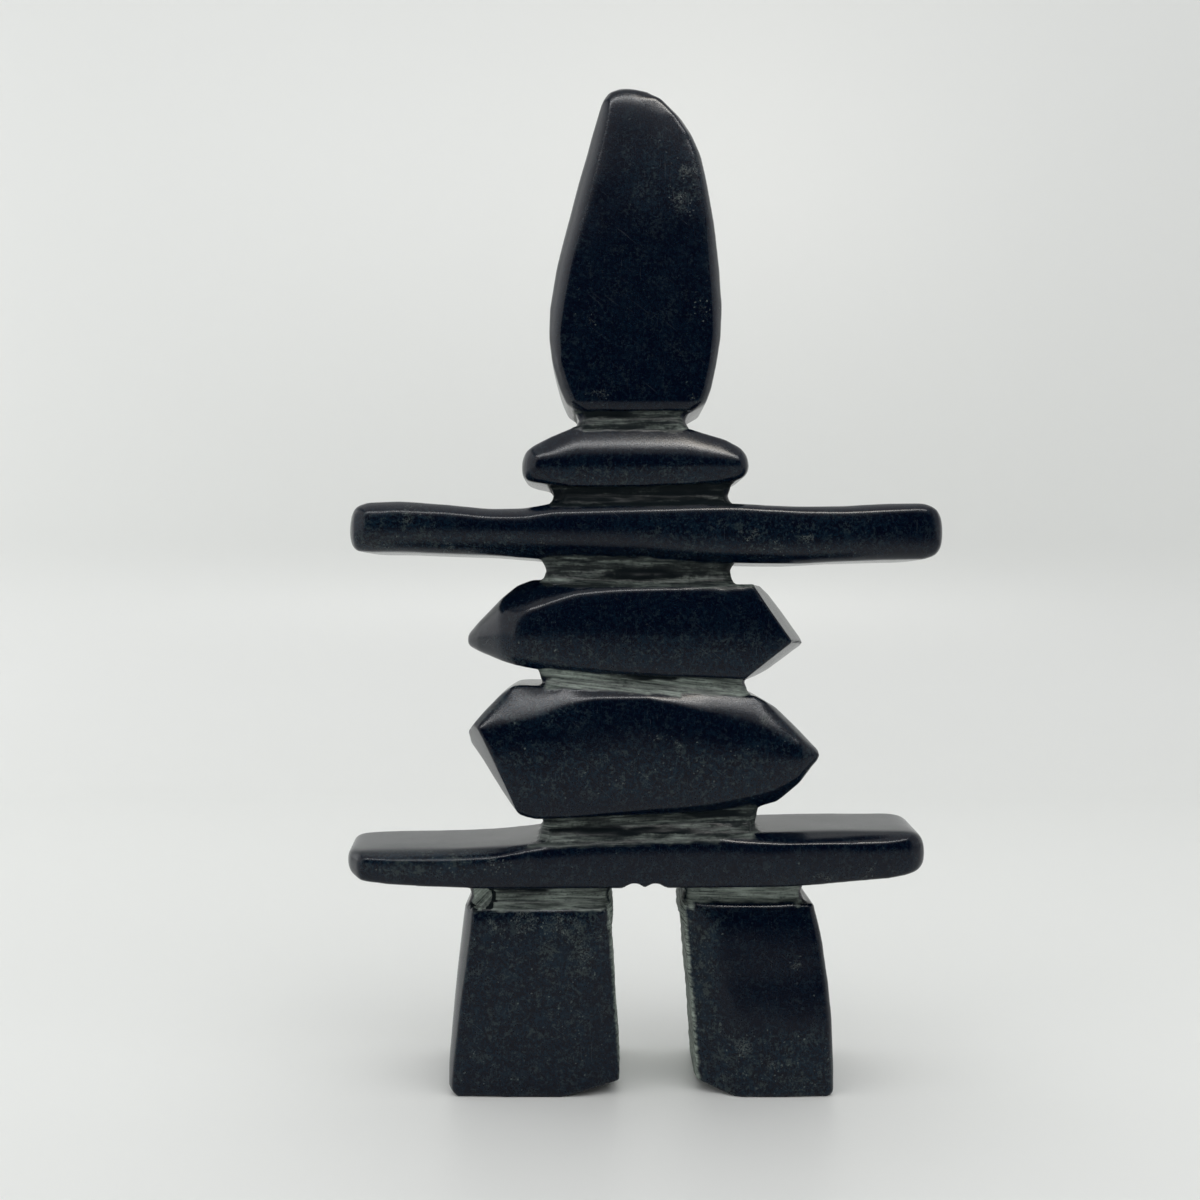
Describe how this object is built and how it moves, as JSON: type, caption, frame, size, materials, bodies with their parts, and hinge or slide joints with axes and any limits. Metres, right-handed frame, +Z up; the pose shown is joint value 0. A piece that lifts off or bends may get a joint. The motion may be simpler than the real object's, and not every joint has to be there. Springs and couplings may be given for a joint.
{
  "type": "stone inukshuk sculpture",
  "caption": "Standing figure carved from one slab of dark polished stone as stacked stones: legs, hip bar, torso, arm bar, neck and head, parted by filed grooves",
  "frame": {"origin": "on the floor, under the middle of the figure's bounding box", "axes": "+Z up along the figure's height, +X to the viewer's right across the arms, +Y from the front face to the rear face through the slab's depth; the figure faces -Y"},
  "size_m": [0.1466, 0.034, 0.2405],
  "materials": {
    "stone": "satin polish on the faces, rough grey-green filed grooves between the stones"
  },
  "bodies": {
    "root": {"inukshuk": "stone"}
  },
  "joints": []
}
